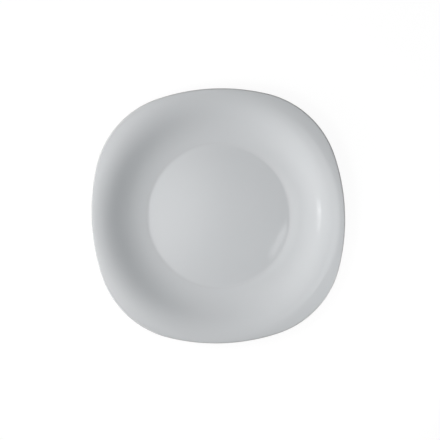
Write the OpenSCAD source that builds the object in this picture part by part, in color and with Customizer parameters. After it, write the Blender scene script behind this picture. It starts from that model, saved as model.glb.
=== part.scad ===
// Square dinner plate with bowed sides, broad round corners and a round well.
// All lengths are in millimetres. The origin is the middle of the plane that the
// foot ring stands on, +Z is up, and the four sides face along X and Y.
//
// The whole face is turned about the Z axis out to the level land, and only the
// land and the lip follow the square outline. The fired body carries two coats of
// glaze, parted by the foot ring, which is wiped clean.

/* [Outline] */
// Width of the plate, from the middle of one side to the middle of the other
plate_w = 270; // [262:1:290]
// Radius of each long, bowed side
side_r = 211.5; // [195:0.5:260]
// Radius of each broad corner
corner_r = 99; // [80:1:106]
// Thickness of the level rim, and so the diameter of its half round lip
rim_t = 3.2; // [2.4:0.1:4.2]
// Least width of the level land, between the rise of the rim and the lip
land_w = 1.4; // [0.6:0.1:4]

/* [Face] */
// Height of the plate, from the table to the top of the rim
plate_h = 22; // [19:0.5:28]
// Radius of the edge of the round well
well_r = 76; // [68:1:84]
// Height of the well's edge above the table
well_z = 6.4; // [5.6:0.1:8]
// How far the middle of the well stands above its edge
crown_h = 1.6; // [0.2:0.1:2.4]
// Half the width of the fillet that softens the well's edge
edge_w = 2.2; // [1:0.1:4]
// Width of the gently sloping ledge round the well
ledge_w = 8; // [4:0.5:14]
// Slope of the ledge, in degrees
ledge_slope = 7; // [3:0.5:12]

/* [Underside] */
// Thickness of the wall under the well and under the ledge
wall_t = 4; // [3:0.1:4.4]
// Radius of the middle of the foot ring
foot_r = 78.5; // [72:0.5:84]
// Width of the bare land that the plate stands on
foot_w = 3; // [2:0.1:5]
// Slope of the foot ring's two flanks from upright, in degrees
foot_draft = 25; // [10:1:35]

/* [Glaze] */
// Thickness of both coats of glaze
glaze_t = 0.3; // [0.2:0.05:0.5]
// Height on the foot ring up to which the glaze is wiped off
wipe_h = 0.8; // [0.4:0.1:1.2]

/* [Hidden] */

// Pulls of the rim's rise, as shares of its width: how far it keeps the ledge's
// slope, and from how far in it turns level
rise_start_share = 0.5;
rise_end_share = 0.46;
// Reach of the foot's fillets, as a share of the flank above the wiped line
foot_fillet_share = 0.6;
// Steps along each curve of the profile
crown_steps = 10;
fillet_steps = 6;
rise_steps = 30;
lip_steps = 12;
// How far cuts and hidden edges run past what they cut
overrun = 1;
$fn = 180;

// The outline is eight arcs that run into each other: the corner arcs' centres lie
// on the diagonals, and each joint lies in line with the two centres that it joins
half_w = plate_w / 2;
side_back = side_r - half_w;
reach = side_r - corner_r;
corner_c = (sqrt(2 * reach ^ 2 - side_back ^ 2) - side_back) / 2;
joint_way = [corner_c + side_back, corner_c] / reach;
diagonal_r = corner_c * sqrt(2) + corner_r;

// The lip, the circle where the rise turns level, and the one half way over the
// land, up to which the plate is turned: the square band overlaps it from land_r out
lip_r = rim_t / 2;
land_r = half_w - lip_r - land_w;
turned_r = land_r + land_w / 2;
band_w = diagonal_r - land_r + overrun;
rim_under_z = plate_h - rim_t;

// The foot ring, with the glaze outside the flanks of its bare body
foot_out_r = foot_r + foot_w / 2 + glaze_t / cos(foot_draft);
foot_in_r = foot_r - foot_w / 2 - glaze_t / cos(foot_draft);
recess_z = well_z - wall_t;
recess_r = foot_in_r - recess_z * tan(foot_draft);

// Where the outer flank meets the wall under the ledge
heel_z = (recess_z + (foot_out_r - well_r) * tan(ledge_slope))
    / (1 - tan(foot_draft) * tan(ledge_slope));
heel_r = foot_out_r + heel_z * tan(foot_draft);

// A curve pulled to one point between its ends, without its first point
function bend(a, pull, b, steps) = [
    for (i = [1:steps]) let (t = i / steps)
        (1 - t) ^ 2 * a + 2 * (1 - t) * t * pull + t ^ 2 * b
];

// A curve with a pull at each end, without its first point
function rise(a, pull_a, pull_b, b, steps) = [
    for (i = [1:steps]) let (t = i / steps)
        (1 - t) ^ 3 * a + 3 * (1 - t) ^ 2 * t * pull_a
        + 3 * (1 - t) * t ^ 2 * pull_b + t ^ 3 * b
];

// The rim's rise from a point on the ledge's slope to the level, and on over the land
function rim_rise(start, z_end) =
    let (
        width = land_r - start.x,
        run = width * rise_start_share
    )
    concat(
        rise(
            start,
            start + [run, run * tan(ledge_slope)],
            [land_r - width * rise_end_share, z_end],
            [land_r, z_end],
            rise_steps
        ),
        [[turned_r, z_end]]
    );

// A shallow dome from the axis out to radius r_end, as high as crown_h above z_edge
function dome(r_edge, z_edge, r_end) = [
    for (i = [0:crown_steps]) let (r = r_end * i / crown_steps)
        [r, z_edge + crown_h * (1 - (r / r_edge) ^ 2)]
];

function last(path) = path[len(path) - 1];
function reversed(path) = [for (i = [len(path) - 1:-1:0]) path[i]];

// The unit normal on the left of the way from a to b
function left_of(a, b) = [a.y - b.y, b.x - a.x] / norm(b - a);

// A path moved sideways by d, with its own normals given at both ends
function moved(path, d, first_normal, last_normal) = [
    for (i = [0:len(path) - 1])
        path[i] + d * (
            i == 0 ? first_normal
            : i == len(path) - 1 ? last_normal
            : left_of(path[i - 1], path[i + 1])
        )
];

up = [0, 1];
out_flank = [sin(foot_draft), cos(foot_draft)];
in_flank = [-sin(foot_draft), cos(foot_draft)];

// The glazed face, from the axis to the middle of the land
function face_path() =
    let (
        well = dome(well_r, well_z, well_r - edge_w),
        ledge_in = [well_r + edge_w, well_z + edge_w * tan(ledge_slope)],
        ledge_out = [well_r + ledge_w, well_z + ledge_w * tan(ledge_slope)]
    )
    concat(
        well,
        bend(last(well), [well_r, well_z], ledge_in, fillet_steps),
        [ledge_out],
        rim_rise(ledge_out, plate_h)
    );

// The glazed underside outside the foot, from the wiped line to the land
function under_path() =
    let (
        heel = [heel_r, heel_z],
        reach_f = foot_fillet_share * (heel_z - wipe_h) / cos(foot_draft),
        start = heel + reach_f * [cos(ledge_slope), sin(ledge_slope)],
        low = heel - reach_f * out_flank
    )
    concat(
        [heel - (heel_z - wipe_h) / cos(foot_draft) * out_flank, low],
        bend(low, heel, start, fillet_steps),
        rim_rise(start, rim_under_z)
    );

// The glazed underside inside the foot, from the axis to the wiped line
function recess_path() =
    let (
        heel = [recess_r, recess_z],
        flank_l = (recess_z - wipe_h) / cos(foot_draft),
        reach_f = foot_fillet_share * flank_l,
        floor_under = dome(recess_r, recess_z, recess_r - reach_f)
    )
    concat(
        floor_under,
        bend(last(floor_under), heel, heel - reach_f * in_flank, fillet_steps),
        [heel - flank_l * in_flank]
    );

// The same three surfaces on the bare body, one coat deeper
function body_face() = moved(face_path(), -glaze_t, up, up);
function body_under() =
    moved(under_path(), glaze_t, left_of([0, 0], out_flank), up);
function body_recess() =
    moved(recess_path(), glaze_t, up, left_of(in_flank, [0, 0]));

// Half round lip of radius r, from its top down, about an upright axis line
function lip_arc(r) = [
    for (i = [0:lip_steps]) let (a = 90 - 180 * i / lip_steps)
        [r * cos(a), plate_h - lip_r + r * sin(a)]
];

// The rim's section about the lip's centre line, one inset inside the glazed surface
function rim_section(inset) = concat(
    [[-band_w, plate_h - inset]],
    lip_arc(lip_r - inset),
    [[-band_w, rim_under_z + inset]]
);

// The coat's section there: the glazed outline out, the body's outline back
function coat_section() = concat(rim_section(0), reversed(rim_section(glaze_t)));

// The stretch of one arc of the outline that lies inside a wedge
module arc_band(centre, r_arc, section, wedge) {
    intersection() {
        translate(centre) rotate_extrude()
            translate([r_arc - lip_r, 0]) polygon(section);
        translate([0, 0, rim_under_z - overrun])
            linear_extrude(rim_t + 2 * overrun) polygon(wedge);
    }
}

// Sweeps a section round the eight arcs of the outline, outside the rise
module rim_band(section) {
    heart = [corner_c, corner_c];
    joint = heart + (corner_r + overrun) * joint_way;
    side_x = half_w + overrun;
    side_wedge = [
        heart, joint, [side_x, joint.y],
        [side_x, -joint.y], [joint.x, -joint.y], [corner_c, -corner_c]
    ];
    corner_wedge = [heart, joint, [joint.x, joint.x], [joint.y, joint.x]];
    difference() {
        for (quarter = [0:3]) rotate(90 * quarter) {
            arc_band([-side_back, 0], side_r, section, side_wedge);
            arc_band(heart, corner_r, section, corner_wedge);
        }
        translate([0, 0, rim_under_z - overrun]) cylinder(r = land_r, h = rim_t + 2 * overrun);
    }
}

// Fired body with its bare foot ring
module porcelain_body() {
    color("#eceae4") {
        rotate_extrude() polygon(concat(
            body_face(),
            reversed(body_under()),
            [[foot_r + foot_w / 2, 0], [foot_r - foot_w / 2, 0]],
            reversed(body_recess())
        ));
        rim_band(rim_section(glaze_t));
    }
}

// Glaze over the face, round the lip and back to the outer side of the foot
module face_glaze() {
    color("#d3d6d8") {
        rotate_extrude() polygon(concat(face_path(), reversed(body_face())));
        rotate_extrude() polygon(concat(under_path(), reversed(body_under())));
        rim_band(coat_section());
    }
}

// Glaze under the floor, inside the foot
module underside_glaze() {
    color("#d0d3d5")
        rotate_extrude() polygon(concat(recess_path(), reversed(body_recess())));
}

porcelain_body();
face_glaze();
underside_glaze();
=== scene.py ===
"""Softly square dinner plate in glazed porcelain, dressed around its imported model.

The plate has three pieces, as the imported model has: the glaze over the face and
the rim, the glaze inside the foot ring, and the fired body with its bare foot.
All three follow one form, given in millimetres by PlateForm.
"""

import logging
import math
from dataclasses import dataclass, field
from enum import Enum
from typing import Any

import bmesh
import bpy
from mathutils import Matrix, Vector


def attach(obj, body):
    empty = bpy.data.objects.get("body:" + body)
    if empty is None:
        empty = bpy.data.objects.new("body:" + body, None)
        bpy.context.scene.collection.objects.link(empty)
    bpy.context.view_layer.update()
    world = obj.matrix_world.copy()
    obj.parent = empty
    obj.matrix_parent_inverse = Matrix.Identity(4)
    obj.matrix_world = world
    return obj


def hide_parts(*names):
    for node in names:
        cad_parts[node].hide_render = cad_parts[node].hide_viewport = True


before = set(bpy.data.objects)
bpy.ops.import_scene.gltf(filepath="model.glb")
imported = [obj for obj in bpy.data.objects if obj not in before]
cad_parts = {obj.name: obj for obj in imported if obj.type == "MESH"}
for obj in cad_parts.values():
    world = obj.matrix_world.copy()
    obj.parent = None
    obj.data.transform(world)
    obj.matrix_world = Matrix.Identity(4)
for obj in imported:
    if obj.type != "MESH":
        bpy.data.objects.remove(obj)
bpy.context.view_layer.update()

LOG = logging.getLogger("plate")

MM = 0.001
BODY = "root"
WHITE = "#ffffff"

# Sockets of a colour mix, which share their names with others and so go by number
MIX_SHARE, MIX_FROM, MIX_TO, MIX_OUT = 0, 6, 7, 2
# A wave texture draws one ring for each such step of its scaled radius
RING_STEP = math.pi / 10

Point = tuple[float, float]
Path = list[Point]
Tree = bpy.types.NodeTree
Socket = bpy.types.NodeSocket


def along(start: Point, way: Point, reach: float) -> Point:
    """The point that lies a reach from start along a unit way."""
    return (start[0] + way[0] * reach, start[1] + way[1] * reach)


def turned(place: Point, angle: float) -> Point:
    """A place turned about the plate's axis, against the clock."""
    c, s = math.cos(angle), math.sin(angle)
    return (place[0] * c - place[1] * s, place[0] * s + place[1] * c)


def heading(away_deg: float, azimuth_deg: float) -> Vector:
    """The unit way out of the plate's middle, by its angles from upright and from +X."""
    away, azimuth = math.radians(away_deg), math.radians(azimuth_deg)
    level = math.sin(away)
    return Vector(
        (level * math.cos(azimuth), level * math.sin(azimuth), math.cos(away))
    )


def bezier(points: list[Point], steps: int) -> Path:
    """Draws a Bezier curve without its first point.

    Args:
        points: The start, one or two pulls, and the end.
        steps: How many points the curve gets.

    Returns:
        The points after the first, the end included.
    """
    curve = []
    for i in range(1, steps + 1):
        t = i / steps
        row = points
        while len(row) > 1:
            row = [
                (a[0] + (b[0] - a[0]) * t, a[1] + (b[1] - a[1]) * t)
                for a, b in zip(row, row[1:])
            ]
        curve.append(row[0])
    return curve


def moved(path: Path, depth: float, first: Point, last: Point) -> Path:
    """Moves a path sideways, to its left where the depth is above zero.

    Args:
        path: Points of radius and height.
        depth: How far each point moves.
        first: The unit normal at the first point.
        last: The unit normal at the last point.

    Returns:
        The moved path, point for point.
    """
    out = []
    for i, point in enumerate(path):
        if i == 0:
            normal = first
        elif i == len(path) - 1:
            normal = last
        else:
            a, b = path[i - 1], path[i + 1]
            run = math.dist(a, b)
            normal = ((a[1] - b[1]) / run, (b[0] - a[0]) / run)
        out.append(along(point, normal, depth))
    return out


@dataclass(frozen=True)
class PlateForm:
    """The plate's form, in millimetres and degrees, as its CAD source gives it."""

    plate_w: float = 270.0
    side_r: float = 211.5
    corner_r: float = 99.0
    rim_t: float = 3.2
    land_w: float = 1.4
    plate_h: float = 22.0
    well_r: float = 76.0
    well_z: float = 6.4
    crown_h: float = 1.6
    edge_w: float = 2.2
    ledge_w: float = 8.0
    ledge_slope: float = 7.0
    wall_t: float = 4.0
    foot_r: float = 78.5
    foot_w: float = 3.0
    foot_draft: float = 25.0
    glaze_t: float = 0.3
    wipe_h: float = 0.8
    rise_start_share: float = 0.5
    rise_end_share: float = 0.46
    foot_fillet_share: float = 0.6

    @property
    def half_w(self) -> float:
        """Half the width of the plate across its sides."""
        return self.plate_w / 2

    @property
    def side_back(self) -> float:
        """How far behind the middle each side's centre lies."""
        return self.side_r - self.half_w

    @property
    def corner_c(self) -> float:
        """How far along X and Y each corner's centre lies."""
        reach = self.side_r - self.corner_r
        return (math.sqrt(2 * reach**2 - self.side_back**2) - self.side_back) / 2

    @property
    def side_angle(self) -> float:
        """Half the angle of one side's arc about its centre, in radians."""
        return math.atan2(self.corner_c, self.corner_c + self.side_back)

    @property
    def lip_r(self) -> float:
        """Radius of the half round lip."""
        return self.rim_t / 2

    @property
    def land_r(self) -> float:
        """Radius of the circle where the rise of the rim turns level."""
        return self.half_w - self.lip_r - self.land_w

    @property
    def ledge_rise(self) -> float:
        """Slope of the ledge, as a rise for each millimetre outwards."""
        return math.tan(math.radians(self.ledge_slope))

    @property
    def flank(self) -> Point:
        """Unit way up the outer flank of the foot ring."""
        draft = math.radians(self.foot_draft)
        return (math.sin(draft), math.cos(draft))

    @property
    def foot_out_r(self) -> float:
        """Outer radius of the glazed foot where it would meet the table."""
        return self.foot_r + self.foot_w / 2 + self.glaze_t / self.flank[1]

    @property
    def foot_in_r(self) -> float:
        """Inner radius of the glazed foot where it would meet the table."""
        return self.foot_r - self.foot_w / 2 - self.glaze_t / self.flank[1]

    @property
    def recess_z(self) -> float:
        """Height of the underside inside the foot ring, at its edge."""
        return self.well_z - self.wall_t

    def dome(self, r_edge: float, z_edge: float, r_end: float, steps: int) -> Path:
        """Draws a shallow dome from the axis out to a radius."""
        path = []
        for i in range(steps + 1):
            r = r_end * i / steps
            path.append((r, z_edge + self.crown_h * (1 - (r / r_edge) ** 2)))
        return path

    def rim_rise(self, start: Point, z_end: float, steps: int) -> Path:
        """Draws the rim's rise from the ledge's slope up to the level land."""
        width = self.land_r - start[0]
        run = width * self.rise_start_share
        return bezier(
            [
                start,
                (start[0] + run, start[1] + run * self.ledge_rise),
                (self.land_r - width * self.rise_end_share, z_end),
                (self.land_r, z_end),
            ],
            steps,
        )


@dataclass(frozen=True)
class ProfileSteps:
    """How finely each stretch of the turned profile is drawn."""

    dome: int = 12
    fillet: int = 10
    rise: int = 40
    lip: int = 24
    foot_edge: int = 5
    turn: int = 256
    side: int = 36
    corner: int = 28


@dataclass(frozen=True)
class PlateProfile:
    """The plate's profiles, on the glazed surface or any depth inside it."""

    form: PlateForm = PlateForm()
    steps: ProfileSteps = ProfileSteps()

    def face(self, depth: float = 0.0) -> Path:
        """The face from the axis to the land, moved in by a depth."""
        form, steps = self.form, self.steps
        well = form.dome(
            form.well_r, form.well_z, form.well_r - form.edge_w, steps.dome
        )
        slope = form.ledge_rise
        ledge_in = (form.well_r + form.edge_w, form.well_z + form.edge_w * slope)
        ledge_out = (form.well_r + form.ledge_w, form.well_z + form.ledge_w * slope)
        path = (
            well
            + bezier([well[-1], (form.well_r, form.well_z), ledge_in], steps.fillet)
            + [ledge_out]
            + form.rim_rise(ledge_out, form.plate_h, steps.rise)
        )
        return moved(path, -depth, (0, 1), (0, 1))

    def under(self, depth: float = 0.0) -> Path:
        """The underside outside the foot, from its wiped line to the land."""
        form, steps = self.form, self.steps
        rise, flank = form.ledge_rise, form.flank
        lean = flank[0] / flank[1]
        heel_z = (form.recess_z + (form.foot_out_r - form.well_r) * rise) / (
            1 - lean * rise
        )
        heel = (form.foot_out_r + heel_z * lean, heel_z)
        climb = (heel_z - form.wipe_h) / flank[1]
        reach = form.foot_fillet_share * climb
        ledge = math.radians(form.ledge_slope)
        low = along(heel, flank, -reach)
        start = along(heel, (math.cos(ledge), math.sin(ledge)), reach)
        path = (
            [along(heel, flank, -climb), low]
            + bezier([low, heel, start], steps.fillet)
            + form.rim_rise(start, form.plate_h - form.rim_t, steps.rise)
        )
        return moved(path, depth, (-flank[1], flank[0]), (0, 1))

    def recess(self, depth: float = 0.0) -> Path:
        """The underside inside the foot, from the axis to its wiped line."""
        form, steps = self.form, self.steps
        flank = form.flank
        heel_r = form.foot_in_r - form.recess_z * flank[0] / flank[1]
        heel = (heel_r, form.recess_z)
        fall = (form.recess_z - form.wipe_h) / flank[1]
        reach = form.foot_fillet_share * fall
        down = (flank[0], -flank[1])
        floor = form.dome(heel_r, form.recess_z, heel_r - reach, steps.dome)
        path = (
            floor
            + bezier([floor[-1], heel, along(heel, down, reach)], steps.fillet)
            + [along(heel, down, fall)]
        )
        return moved(path, depth, (0, 1), (flank[1], flank[0]))

    def lip(self, depth: float = 0.0) -> Path:
        """The lip's half round from its top down, as places across the middle side."""
        form = self.form
        middle = (form.half_w - form.lip_r, form.plate_h - form.lip_r)
        path = []
        for i in range(self.steps.lip + 1):
            turn = math.pi * (0.5 - i / self.steps.lip)
            way = (math.cos(turn), math.sin(turn))
            path.append(along(middle, way, form.lip_r - depth))
        return path


class Facing(Enum):
    """Which way a skin's faces have to look at its highest point."""

    UP = 1
    DOWN = -1


@dataclass
class Workpiece:
    """One piece on the bench: skins drawn and spun one by one, joined and finished.

    Points merge within weld_gap, and an edge counts as level within level_gap, both
    in millimetres. Wall edges past bevel_deg are rounded in bevel_steps, and faces
    that meet at less than smooth_deg are shaded as one curve.
    """

    name: str
    skins: list[bpy.types.Object] = field(default_factory=list)
    weld_gap: float = 0.002
    level_gap: float = 0.01
    bevel_deg: float = 60.0
    bevel_steps: int = 3
    smooth_deg: float = 50.0

    @property
    def piece(self) -> bpy.types.Object:
        """The piece itself, which is the first skin once they are joined."""
        return self.skins[0]

    def _draw(self, path: Path) -> None:
        """Draws a path across the middle of the side at +X, as a skin of its own.

        It starts from one small face, merged into a point, which is extruded from
        point to point. Edit mode stays on, with the whole path selected.

        Args:
            path: Points of radius and height, in millimetres.
        """
        (x, z), *rest = path
        bpy.ops.object.select_all(action="DESELECT")
        bpy.ops.mesh.primitive_plane_add(size=MM)
        skin = bpy.context.object
        self.skins.append(skin)
        skin.name = skin.data.name = self.name
        bpy.ops.object.mode_set(mode="EDIT")
        bpy.ops.mesh.select_mode(type="VERT")
        bpy.ops.mesh.select_all(action="SELECT")
        bpy.ops.mesh.merge(type="CENTER")
        bpy.ops.transform.translate(value=(x * MM, 0, z * MM))
        for x_next, z_next in rest:
            step = ((x_next - x) * MM, 0, (z_next - z) * MM)
            bpy.ops.mesh.extrude_region_move(TRANSFORM_OT_translate={"value": step})
            x, z = x_next, z_next
        bpy.ops.mesh.select_all(action="SELECT")

    def _spin(self, centre: Point, angle: float, steps: int) -> None:
        """Spins what is selected against the clock about an upright line.

        Args:
            centre: Where the line stands, in millimetres.
            angle: How far to turn, in radians.
            steps: How many faces the turn gets.
        """
        bpy.ops.mesh.spin(
            steps=steps,
            angle=-angle,
            center=(centre[0] * MM, centre[1] * MM, 0),
            axis=(0, 0, 1),
        )

    def turn(self, path: Path, steps: int) -> None:
        """Turns a path all the way round the plate's axis."""
        self._draw(path)
        self._spin((0, 0), math.tau, steps)
        bpy.ops.object.mode_set(mode="OBJECT")

    def sweep(self, path: Path, form: PlateForm, steps: ProfileSteps) -> None:
        """Sweeps a path round the eight arcs of the outline.

        Args:
            path: The path where it crosses the middle of the side at +X.
            form: The form that gives the arcs.
            steps: How finely the arcs are drawn.
        """
        half_side = form.side_angle
        corner = math.pi / 2 - 2 * half_side
        self._draw(path)
        for quarter in range(4):
            angle = math.pi / 2 * quarter
            side = turned((-form.side_back, 0), angle)
            heart = turned((form.corner_c, form.corner_c), angle)
            next_side = turned((0, -form.side_back), angle)
            self._spin(side, half_side, steps.side // 2)
            self._spin(heart, corner, steps.corner)
            self._spin(next_side, half_side, steps.side // 2)
        bpy.ops.object.mode_set(mode="OBJECT")

    def _weld(self) -> None:
        """Merges points that lie on each other, at seams, joints and the pole."""
        bpy.ops.mesh.select_mode(type="VERT")
        bpy.ops.mesh.select_all(action="SELECT")
        bpy.ops.mesh.remove_doubles(threshold=self.weld_gap * MM)

    def _bridge(self, height: float) -> None:
        """Joins the two open loops at one height by a level ring of faces."""
        bpy.ops.mesh.select_mode(type="EDGE")
        bpy.ops.mesh.select_all(action="DESELECT")
        mesh = bmesh.from_edit_mesh(self.piece.data)
        gap = self.level_gap * MM
        for edge in mesh.edges:
            level = all(abs(v.co.z - height * MM) < gap for v in edge.verts)
            if level and len(edge.link_faces) == 1:
                edge.select_set(True)
        bmesh.update_edit_mesh(self.piece.data)
        bpy.ops.mesh.bridge_edge_loops()

    def join(self, facing: Facing, bridges: tuple[float, ...] = ()) -> None:
        """Joins the skins into one, with every face looking out of the plate.

        Args:
            facing: Which way the skin looks at its highest point.
            bridges: Heights at which two open loops are joined, in millimetres.
        """
        bpy.ops.object.select_all(action="DESELECT")
        for skin in self.skins:
            skin.select_set(True)
        bpy.context.view_layer.objects.active = self.piece
        if len(self.skins) > 1:
            bpy.ops.object.join()
            del self.skins[1:]
        bpy.ops.object.mode_set(mode="EDIT")
        self._weld()
        for height in bridges:
            self._bridge(height)
        self._weld()
        bpy.ops.mesh.normals_make_consistent(inside=False)
        mesh = bmesh.from_edit_mesh(self.piece.data)
        top = max(mesh.faces, key=lambda face: face.calc_center_median().z)
        if top.normal.z * facing.value < 0:
            bpy.ops.mesh.flip_normals()
        bpy.ops.object.mode_set(mode="OBJECT")

    def thicken(self, depth: float, edge: float) -> None:
        """Gives an open skin its wall, inwards, and rounds the wall's edges.

        Args:
            depth: Thickness of the wall, in millimetres.
            edge: Width of the rounding on its open edges, in millimetres.
        """
        self._modify(
            "SOLIDIFY", thickness=depth * MM, offset=-1, use_quality_normals=True
        )
        self._modify(
            "BEVEL",
            width=edge * MM,
            segments=self.bevel_steps,
            limit_method="ANGLE",
            angle_limit=math.radians(self.bevel_deg),
        )

    def _modify(self, kind: str, **settings: Any) -> None:
        """Adds a modifier with its settings and applies it."""
        bpy.ops.object.modifier_add(type=kind)
        modifier = self.piece.modifiers[-1]
        for name, value in settings.items():
            setattr(modifier, name, value)
        bpy.ops.object.modifier_apply(modifier=modifier.name)

    def smooth(self) -> None:
        """Shades the piece smooth, apart from real edges."""
        bpy.ops.object.shade_smooth_by_angle(angle=math.radians(self.smooth_deg))


def linear(colour: str) -> tuple[float, float, float, float]:
    """Turns an sRGB hex colour into linear values.

    Args:
        colour: Six hex digits after a number sign.

    Returns:
        Linear red, green and blue, and an alpha of 1.
    """
    out = []
    for i in (1, 3, 5):
        value = int(colour[i : i + 2], 16) / 255
        # The standard sRGB curve, which is straight near black
        value = value / 12.92 if value <= 0.04045 else ((value + 0.055) / 1.055) ** 2.4
        out.append(value)
    return (out[0], out[1], out[2], 1.0)


def add_node(
    tree: Tree,
    kind: str,
    inputs: dict[int | str, Any] | None = None,
    **settings: Any,
) -> bpy.types.Node:
    """Adds a node with its settings, values and links.

    Args:
        tree: The node tree that the node joins.
        kind: The node's type name.
        inputs: Values, or the sockets to link from, by input name or number.
        settings: The node's own properties.

    Returns:
        The new node.
    """
    node = tree.nodes.new(kind)
    for name, value in settings.items():
        setattr(node, name, value)
    for name, value in (inputs or {}).items():
        if isinstance(value, Socket):
            tree.links.new(value, node.inputs[name])
        else:
            node.inputs[name].default_value = value
    return node


def new_material(name: str) -> tuple[bpy.types.Material, Tree]:
    """Makes a material with an empty node tree."""
    material = bpy.data.materials.new(name)
    material.use_nodes = True
    material.node_tree.nodes.clear()
    return material, material.node_tree


def axis_distance(tree: Tree, place: Socket) -> Socket:
    """Adds how far a place lies from the plate's axis, in metres."""
    level = add_node(
        tree,
        "ShaderNodeVectorMath",
        {0: place, 1: (1.0, 1.0, 0.0)},
        operation="MULTIPLY",
    )
    reach = add_node(
        tree, "ShaderNodeVectorMath", {0: level.outputs["Vector"]}, operation="LENGTH"
    )
    return reach.outputs["Value"]


def band(
    tree: Tree,
    value: Socket,
    middle: float,
    edge: float,
    core: float = 0.0,
    top: Socket | float = 1.0,
) -> Socket:
    """Adds a soft band round one value, as a mask for a mix.

    Args:
        tree: The node tree that the nodes join.
        value: What is measured, in metres.
        middle: The value in the middle of the band, in millimetres.
        edge: How far from the middle the band fades out, in millimetres.
        core: How far from the middle the band keeps its full strength.
        top: The full strength.

    Returns:
        The band's strength, which is nothing past its edge.
    """
    off = add_node(
        tree, "ShaderNodeMath", {0: value, 1: middle * MM}, operation="SUBTRACT"
    )
    off = add_node(tree, "ShaderNodeMath", {0: off.outputs[0]}, operation="ABSOLUTE")
    mask = add_node(
        tree,
        "ShaderNodeMapRange",
        {
            "Value": off.outputs[0],
            "From Min": edge * MM,
            "From Max": core * MM,
            "To Max": top,
        },
        interpolation_type="SMOOTHSTEP",
    )
    return mask.outputs["Result"]


@dataclass(frozen=True)
class GlazedPorcelain:
    """White porcelain under a poured and fired clear gloss glaze.

    It gives the eye a cool, pale grey body under a hard, wet-looking gloss. The
    body's tone drifts a little across the plate, the glaze looks a shade deeper
    where it pooled in a hollow and lighter where it ran thin round the lip, and
    its reflections wander a little on the long, low waves of a settled glaze.
    Lengths are in millimetres: the hollow's radius and half width, the lip's radii
    and height, and how wide the clouds, the wiped patches and the waves are.
    """

    name: str
    colour: str
    cloud_colour: str
    pool_colour: str
    pool_r: float
    pool_half_w: float = 3.0
    thin_colour: str = "#dcdcda"
    thin_r: tuple[float, float] = (131.0, 133.5)
    lip_z: float = 20.4
    lip_half_h: tuple[float, float] = (1.5, 0.9)
    cloud: float = 90.0
    cloud_detail: float = 2.0
    patch: float = 35.0
    patch_detail: float = 3.0
    patch_span: tuple[float, float] = (0.35, 0.65)
    wave: float = 14.0
    wave_detail: float = 1.0
    wave_h: float = 0.0025
    roughness: tuple[float, float] = (0.04, 0.07)
    ior: float = 1.5

    def _clouded(self, tree: Tree, place: Socket) -> Socket:
        """Adds the body's tone, which drifts between two near shades."""
        cloud = add_node(
            tree,
            "ShaderNodeTexNoise",
            {
                "Vector": place,
                "Scale": 1 / (self.cloud * MM),
                "Detail": self.cloud_detail,
            },
        )
        shade = add_node(
            tree,
            "ShaderNodeMix",
            {
                MIX_SHARE: cloud.outputs["Fac"],
                MIX_FROM: linear(self.colour),
                MIX_TO: linear(self.cloud_colour),
            },
            data_type="RGBA",
        )
        return shade.outputs[MIX_OUT]

    def _pooled(self, tree: Tree, place: Socket, shade: Socket) -> Socket:
        """Deepens a shade in a ring, in the hollow where the glaze pooled."""
        pooled = band(tree, axis_distance(tree, place), self.pool_r, self.pool_half_w)
        deeper = add_node(
            tree,
            "ShaderNodeMix",
            {MIX_SHARE: pooled, MIX_FROM: shade, MIX_TO: linear(self.pool_colour)},
            data_type="RGBA",
        )
        return deeper.outputs[MIX_OUT]

    def _thinned(self, tree: Tree, place: Socket, shade: Socket) -> Socket:
        """Lightens a shade round the lip, where the glaze ran thin."""
        height = add_node(tree, "ShaderNodeSeparateXYZ", {0: place}).outputs["Z"]
        outer = add_node(
            tree,
            "ShaderNodeMapRange",
            {
                "Value": axis_distance(tree, place),
                "From Min": self.thin_r[0] * MM,
                "From Max": self.thin_r[1] * MM,
            },
            interpolation_type="SMOOTHSTEP",
        )
        thin = band(
            tree, height, self.lip_z, *self.lip_half_h, top=outer.outputs["Result"]
        )
        lighter = add_node(
            tree,
            "ShaderNodeMix",
            {MIX_SHARE: thin, MIX_FROM: shade, MIX_TO: linear(self.thin_colour)},
            data_type="RGBA",
        )
        return lighter.outputs[MIX_OUT]

    def _gloss(self, tree: Tree, place: Socket) -> Socket:
        """Adds the roughness, a little higher in patches, as wiped by a cloth."""
        patch = add_node(
            tree,
            "ShaderNodeTexNoise",
            {
                "Vector": place,
                "Scale": 1 / (self.patch * MM),
                "Detail": self.patch_detail,
            },
        )
        rough = add_node(
            tree,
            "ShaderNodeMapRange",
            {
                "Value": patch.outputs["Fac"],
                "From Min": self.patch_span[0],
                "From Max": self.patch_span[1],
                "To Min": self.roughness[0],
                "To Max": self.roughness[1],
            },
            interpolation_type="SMOOTHSTEP",
        )
        return rough.outputs["Result"]

    def _waves(self, tree: Tree, place: Socket) -> Socket:
        """Adds the long, low waves that a glaze keeps when it sets."""
        wave = add_node(
            tree,
            "ShaderNodeTexNoise",
            {
                "Vector": place,
                "Scale": 1 / (self.wave * MM),
                "Detail": self.wave_detail,
            },
        )
        bump = add_node(
            tree,
            "ShaderNodeBump",
            {
                "Height": wave.outputs["Fac"],
                "Distance": self.wave_h * MM,
                "Strength": 1.0,
            },
        )
        return bump.outputs["Normal"]

    def make(self) -> bpy.types.Material:
        """Builds the material's nodes."""
        material, tree = new_material(self.name)
        place = add_node(tree, "ShaderNodeTexCoord").outputs["Object"]
        shade = self._clouded(tree, place)
        shade = self._pooled(tree, place, shade)
        shade = self._thinned(tree, place, shade)
        shader = add_node(
            tree,
            "ShaderNodeBsdfPrincipled",
            {
                "Base Color": shade,
                "Roughness": self._gloss(tree, place),
                "IOR": self.ior,
                "Normal": self._waves(tree, place),
            },
        )
        add_node(
            tree, "ShaderNodeOutputMaterial", {"Surface": shader.outputs["BSDF"]}
        )
        return material


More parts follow.
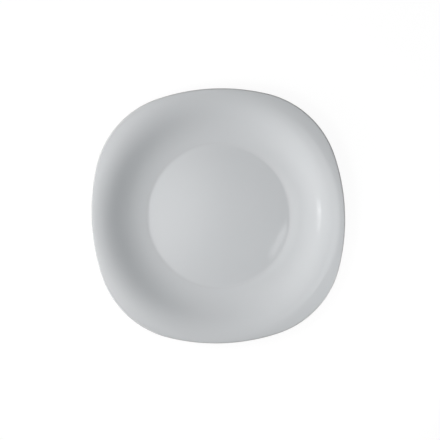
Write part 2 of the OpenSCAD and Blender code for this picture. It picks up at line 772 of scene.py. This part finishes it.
@dataclass(frozen=True)
class FiredBisque:
    """Porcelain fired bare, with its foot ground smooth after the kiln.

    It gives the eye a warm, dry off-white with no gloss, a fine sandy grain, and
    faint rings of grinding where the foot was rubbed on a turning stone. Lengths
    are in millimetres.
    """

    name: str = "porcelain_fired_bisque_ground"
    colour: str = "#e4dfd4"
    grain_colour: str = "#cfc8ba"
    rub_colour: str = "#bdb7ab"
    # Real grain and real grinding marks are about 0.1 mm wide, which is too fine to
    # show, so both are drawn as coarse as they need to be
    grain: float = 0.6
    grain_detail: float = 3.0
    grain_h: float = 0.03
    grain_strength: float = 0.8
    ring: float = 0.5
    ring_detail: float = 2.0
    ring_wobble: float = 1.5
    rub_start: float = 0.55
    rub_share: float = 0.35
    roughness: float = 0.82

    def make(self) -> bpy.types.Material:
        """Builds the material's nodes."""
        material, tree = new_material(self.name)
        place = add_node(tree, "ShaderNodeTexCoord").outputs["Object"]
        grain = add_node(
            tree,
            "ShaderNodeTexNoise",
            {
                "Vector": place,
                "Scale": 1 / (self.grain * MM),
                "Detail": self.grain_detail,
            },
        )
        rings = add_node(
            tree,
            "ShaderNodeTexWave",
            {
                "Vector": place,
                "Scale": RING_STEP / (self.ring * MM),
                "Distortion": self.ring_wobble,
                "Detail": self.ring_detail,
            },
            wave_type="RINGS",
            rings_direction="Z",
        )
        shade = add_node(
            tree,
            "ShaderNodeMix",
            {
                MIX_SHARE: grain.outputs["Fac"],
                MIX_FROM: linear(self.colour),
                MIX_TO: linear(self.grain_colour),
            },
            data_type="RGBA",
        )
        rub = add_node(
            tree,
            "ShaderNodeMapRange",
            {
                "Value": rings.outputs["Fac"],
                "From Min": self.rub_start,
                "To Max": self.rub_share,
            },
            interpolation_type="SMOOTHSTEP",
        )
        rubbed = add_node(
            tree,
            "ShaderNodeMix",
            {
                MIX_SHARE: rub.outputs["Result"],
                MIX_FROM: shade.outputs[MIX_OUT],
                MIX_TO: linear(self.rub_colour),
            },
            data_type="RGBA",
        )
        bump = add_node(
            tree,
            "ShaderNodeBump",
            {
                "Height": grain.outputs["Fac"],
                "Distance": self.grain_h * MM,
                "Strength": self.grain_strength,
            },
        )
        shader = add_node(
            tree,
            "ShaderNodeBsdfPrincipled",
            {
                "Base Color": rubbed.outputs[MIX_OUT],
                "Roughness": self.roughness,
                "Normal": bump.outputs["Normal"],
            },
        )
        add_node(
            tree, "ShaderNodeOutputMaterial", {"Surface": shader.outputs["BSDF"]}
        )
        return material


FACE_GLAZE = GlazedPorcelain(
    name="porcelain_poured_gloss_glaze",
    colour="#d3d5d7",
    cloud_colour="#d0d3d5",
    pool_colour="#d0d2d4",
    pool_r=77.5,
    pool_half_w=2.0,
)
UNDERSIDE_GLAZE = GlazedPorcelain(
    name="porcelain_thin_dipped_glaze",
    colour="#d0d2d2",
    cloud_colour="#cccfd0",
    pool_colour="#c6cbcd",
    pool_r=75.0,
    cloud=55.0,
    wave=9.0,
    wave_h=0.005,
    roughness=(0.08, 0.13),
)
FOOT_BISQUE = FiredBisque()


@dataclass
class GlazedPlate:
    """The plate: its body and its two coats of glaze."""

    profile: PlateProfile = field(default_factory=PlateProfile)
    coat_edge: float = 0.1
    foot_edge_r: float = 0.35

    def build(self) -> dict[str, bpy.types.Object]:
        """Models the three pieces.

        Returns:
            Each piece by the name of the CAD node that it replaces.
        """
        return {
            "face_glaze": self._face_glaze(),
            "underside_glaze": self._underside_glaze(),
            "porcelain_body": self._body(),
        }

    def _rimmed(self, name: str, depth: float, rest: Path) -> Workpiece:
        """Models a skin over the face and round the lip, moved in by a depth.

        Args:
            name: The piece's name.
            depth: How far inside the glazed surface the skin lies.
            rest: The turned path that follows, from under the land inwards.

        Returns:
            The piece, with its three skins joined.
        """
        form, steps = self.profile.form, self.profile.steps
        work = Workpiece(name)
        work.turn(self.profile.face(depth), steps.turn)
        work.sweep(self.profile.lip(depth), form, steps)
        work.turn(rest, steps.turn)
        land, under = form.plate_h - depth, form.plate_h - form.rim_t + depth
        work.join(Facing.UP, bridges=(land, under))
        return work

    def _face_glaze(self) -> bpy.types.Object:
        """The coat over the face, round the lip and back to the foot."""
        under = self.profile.under()
        work = self._rimmed("FaceGlaze", 0.0, under[::-1])
        work.thicken(self.profile.form.glaze_t, self.coat_edge)
        work.smooth()
        return work.piece

    def _underside_glaze(self) -> bpy.types.Object:
        """The coat under the floor, inside the foot."""
        work = Workpiece("UndersideGlaze")
        work.turn(self.profile.recess(), self.profile.steps.turn)
        work.join(Facing.DOWN)
        work.thicken(self.profile.form.glaze_t, self.coat_edge)
        work.smooth()
        return work.piece

    def _body(self) -> bpy.types.Object:
        """The fired body, one coat inside the glaze, down to its bare foot."""
        depth = self.profile.form.glaze_t
        below = self.profile.recess(depth) + self._foot() + self.profile.under(depth)
        work = self._rimmed("BisqueBody", depth, below[::-1])
        work.smooth()
        return work.piece

    def _foot(self) -> Path:
        """The bare foot from its inner flank to its outer one, its edges rounded."""
        form, steps = self.profile.form, self.profile.steps
        flank, edge = form.flank, self.foot_edge_r
        inner = (form.foot_r - form.foot_w / 2, 0.0)
        outer = (form.foot_r + form.foot_w / 2, 0.0)
        up_in = along(inner, (-flank[0], flank[1]), edge)
        up_out = along(outer, flank, edge)
        land_in, land_out = (inner[0] + edge, 0.0), (outer[0] - edge, 0.0)
        return (
            [up_in]
            + bezier([up_in, inner, land_in], steps.foot_edge)
            + [land_out]
            + bezier([land_out, outer, up_out], steps.foot_edge)
        )

    def dress(self, pieces: dict[str, bpy.types.Object]) -> None:
        """Gives each piece its finish and its body, and hides the CAD node it stands
        for.
        """
        finishes = {
            "face_glaze": (FACE_GLAZE, "glaze"),
            "underside_glaze": (UNDERSIDE_GLAZE, "underside_glaze"),
            "porcelain_body": (FOOT_BISQUE, "bisque"),
        }
        for node, piece in pieces.items():
            finish, slot = finishes[node]
            piece.data.materials.clear()
            piece.data.materials.append(finish.make())
            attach(piece, BODY)
            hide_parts(node)
            LOG.info("%s: %d faces", piece.name, len(piece.data.polygons))


@dataclass(frozen=True)
class SkyGlow:
    """One soft light of the studio: a glow in the sky, brightest at its middle."""

    away_deg: float
    azimuth_deg: float
    spread_deg: float
    strength: float
    colour: str = WHITE

    def shine(self, tree: Tree, sight: Socket) -> Socket:
        """Adds the glow to a sky.

        Args:
            tree: The sky's node tree.
            sight: The way that the sky is seen.

        Returns:
            The glow's light, which fades smoothly to nothing at its spread.
        """
        near = add_node(
            tree,
            "ShaderNodeVectorMath",
            {0: sight, 1: heading(self.away_deg, self.azimuth_deg)},
            operation="DOT_PRODUCT",
        )
        fade = add_node(
            tree,
            "ShaderNodeMapRange",
            {
                "Value": near.outputs["Value"],
                "From Min": math.cos(math.radians(self.spread_deg)),
                "From Max": 1.0,
                "To Max": self.strength,
            },
            interpolation_type="SMOOTHSTEP",
        )
        light = add_node(
            tree,
            "ShaderNodeBackground",
            {"Color": linear(self.colour), "Strength": fade.outputs["Result"]},
        )
        return light.outputs["Background"]


def place_lamp(data: bpy.types.Light, place: Vector) -> bpy.types.Object:
    """Puts a lamp where it faces the plate's middle, unseen by the camera."""
    lamp = bpy.data.objects.new(data.name, data)
    bpy.context.scene.collection.objects.link(lamp)
    lamp.location = place
    lamp.rotation_euler = place.to_track_quat("Z", "Y").to_euler()
    lamp.visible_camera = False
    return lamp


class LampShape(Enum):
    """Outline of a small lamp, by Blender's name for it."""

    STRIP = "RECTANGLE"
    DISC = "DISK"


@dataclass(frozen=True)
class CatchLamp:
    """A small lamp whose mirror image shows as a crisp mark in the glaze."""

    name: str
    place: tuple[float, float, float]
    size: tuple[float, float]
    radiance: float
    turn_deg: float = 0.0
    shape: LampShape = LampShape.STRIP

    def build(self) -> None:
        """Adds the lamp, which only the gloss of the glaze shows."""
        data = bpy.data.lights.new(self.name, "AREA")
        data.shape = self.shape.value
        data.size, data.size_y = self.size
        area = data.size * data.size_y
        if self.shape is LampShape.DISC:
            area *= math.pi / 4
        data.energy = self.radiance * math.pi * area
        lamp = place_lamp(data, Vector(self.place))
        lamp.rotation_euler.rotate_axis("Z", math.radians(self.turn_deg))
        lamp.visible_diffuse = False


@dataclass(frozen=True)
class NearLamp:
    """A round, diffused lamp near the plate, which doesn't show in its glaze."""

    name: str
    away_deg: float
    azimuth_deg: float
    distance: float
    power: float
    colour: str = WHITE
    width_share: float = 0.35

    def build(self) -> None:
        """Adds the lamp."""
        data = bpy.data.lights.new(self.name, "AREA")
        data.shape = LampShape.DISC.value
        data.size = self.distance * self.width_share
        data.energy = self.power
        data.color = linear(self.colour)[:3]
        away = heading(self.away_deg, self.azimuth_deg)
        place_lamp(data, away * self.distance).visible_glossy = False


@dataclass(frozen=True)
class KeyLamp:
    """A broad, far lamp low on the left, which doesn't show in the glaze."""

    away_deg: float = 72.0
    azimuth_deg: float = 180.0
    spread_deg: float = 20.0
    strength: float = 0.46

    def build(self) -> None:
        """Adds the lamp."""
        data = bpy.data.lights.new("KeyLamp", "SUN")
        data.angle = math.radians(self.spread_deg)
        data.energy = self.strength
        place_lamp(data, heading(self.away_deg, self.azimuth_deg)).visible_glossy = False


@dataclass(frozen=True)
class TopCamera:
    """The camera almost straight above the plate, at the photograph's angle."""

    place: tuple[float, float, float] = (0.2014, 0.0740, 2.022)
    turn_deg: tuple[float, float, float] = (-2.50, 5.556, -2.824)
    lens: float = 155.7
    sensor_w: float = 36.0

    def build(self) -> None:
        """Adds the camera and makes it the scene's own."""
        data = bpy.data.cameras.new("TopCamera")
        data.sensor_width = self.sensor_w
        data.lens = self.lens
        camera = bpy.data.objects.new("TopCamera", data)
        bpy.context.scene.collection.objects.link(camera)
        camera.location = self.place
        camera.rotation_euler = [math.radians(angle) for angle in self.turn_deg]
        bpy.context.scene.camera = camera


@dataclass
class Studio:
    """Pale floor, soft light and the camera."""

    floor_w: float = 30.0
    # The floor lights the plate by its colour. To the camera and in the glaze it is
    # a glow near white instead, over a darker paint that takes the plate's shadow
    floor_colour: str = "#acacac"
    floor_seen_colour: str = "#616161"
    floor_glow: float = 0.93
    ambient: float = 0.03
    ambient_colour: str = WHITE
    camera: TopCamera = field(default_factory=TopCamera)
    key: KeyLamp = field(default_factory=KeyLamp)
    # Angles from upright and from +X, distance in metres, power in watts, colour
    near: tuple[NearLamp, ...] = (
        NearLamp("LeftTopLamp", 15.0, 180.0, 0.35, 0.285, "#f9fcff"),
        NearLamp("LeftLowLamp", 70.0, 180.0, 0.50, 0.80, "#fffaf6"),
        NearLamp("RightTopLamp", 30.0, 0.0, 0.35, 0.098),
        NearLamp("RightLowLamp", 75.0, 330.0, 0.30, 0.153),
    )
    # Angles from upright and from +X, angle to the glow's edge, strength
    glows: tuple[SkyGlow, ...] = (
        SkyGlow(52.0, 180.0, 60.0, 0.88),
        SkyGlow(40.0, 180.0, 42.0, 0.40),
        SkyGlow(70.0, 90.0, 60.0, 0.10),
        SkyGlow(13.0, 180.0, 9.0, 0.62),
        SkyGlow(14.5, 187.0, 10.5, 0.54),
    )
    # Place and size in metres, radiance, and turn about the lamp's own axis
    catches: tuple[CatchLamp, ...] = (
        CatchLamp("LeafLamp", (0.0625, -0.0618, 0.4), (0.062, 0.0078), 2.7, 15.7),
        CatchLamp("StreakLamp", (-0.909, -0.015, 0.650), (0.24, 0.021), 2.9),
        CatchLamp(
            "GlintLamp",
            (-0.913, -0.051, 0.646),
            (0.034, 0.034),
            3.4,
            shape=LampShape.DISC,
        ),
    )

    def build(self) -> None:
        """Adds the floor, the sky with its glows, the lamps and the camera."""
        self._floor()
        self._sky()
        self.key.build()
        for lamp in self.near + self.catches:
            lamp.build()
        self.camera.build()
        bpy.context.scene.view_settings.view_transform = "Standard"

    def _floor(self) -> None:
        """Adds a wide, level, pale floor that shows white and keeps a faint shadow."""
        bpy.ops.object.select_all(action="DESELECT")
        bpy.ops.mesh.primitive_plane_add(size=self.floor_w)
        floor = bpy.context.object
        floor.name = floor.data.name = "StudioFloor"
        material, tree = new_material("studio_floor_painted_white")
        path = add_node(tree, "ShaderNodeLightPath")
        seen = add_node(
            tree,
            "ShaderNodeMath",
            {0: path.outputs["Is Camera Ray"], 1: path.outputs["Is Glossy Ray"]},
            operation="MAXIMUM",
        )
        seen = add_node(
            tree,
            "ShaderNodeMath",
            {0: seen.outputs[0], 1: path.outputs["Is Transmission Ray"]},
            operation="MAXIMUM",
        )
        paint = add_node(
            tree, "ShaderNodeBsdfDiffuse", {"Color": linear(self.floor_colour)}
        )
        faint = add_node(
            tree, "ShaderNodeBsdfDiffuse", {"Color": linear(self.floor_seen_colour)}
        )
        glow = add_node(
            tree,
            "ShaderNodeEmission",
            {"Color": linear(WHITE), "Strength": self.floor_glow},
        )
        white = add_node(
            tree, "ShaderNodeAddShader", {0: faint.outputs[0], 1: glow.outputs[0]}
        )
        both = add_node(
            tree,
            "ShaderNodeMixShader",
            {0: seen.outputs[0], 1: paint.outputs[0], 2: white.outputs[0]},
        )
        add_node(tree, "ShaderNodeOutputMaterial", {"Surface": both.outputs[0]})
        floor.data.materials.append(material)

    def _sky(self) -> None:
        """Adds a pale sky with soft glows, which show in the glaze too."""
        world = bpy.data.worlds.new("StudioSky")
        world.use_nodes = True
        tree = world.node_tree
        tree.nodes.clear()
        sight = add_node(tree, "ShaderNodeTexCoord").outputs["Generated"]
        sky = add_node(
            tree,
            "ShaderNodeBackground",
            {"Color": linear(self.ambient_colour), "Strength": self.ambient},
        ).outputs["Background"]
        for glow in self.glows:
            light = glow.shine(tree, sight)
            sky = add_node(tree, "ShaderNodeAddShader", {0: sky, 1: light}).outputs[0]
        add_node(tree, "ShaderNodeOutputWorld", {"Surface": sky})
        bpy.context.scene.world = world


def main() -> None:
    """Models the plate, dresses it and sets up the studio."""
    logging.basicConfig(level=logging.INFO, format="%(name)s: %(message)s")
    plate = GlazedPlate()
    plate.dress(plate.build())
    Studio().build()


if __name__ == "__main__":
    main()
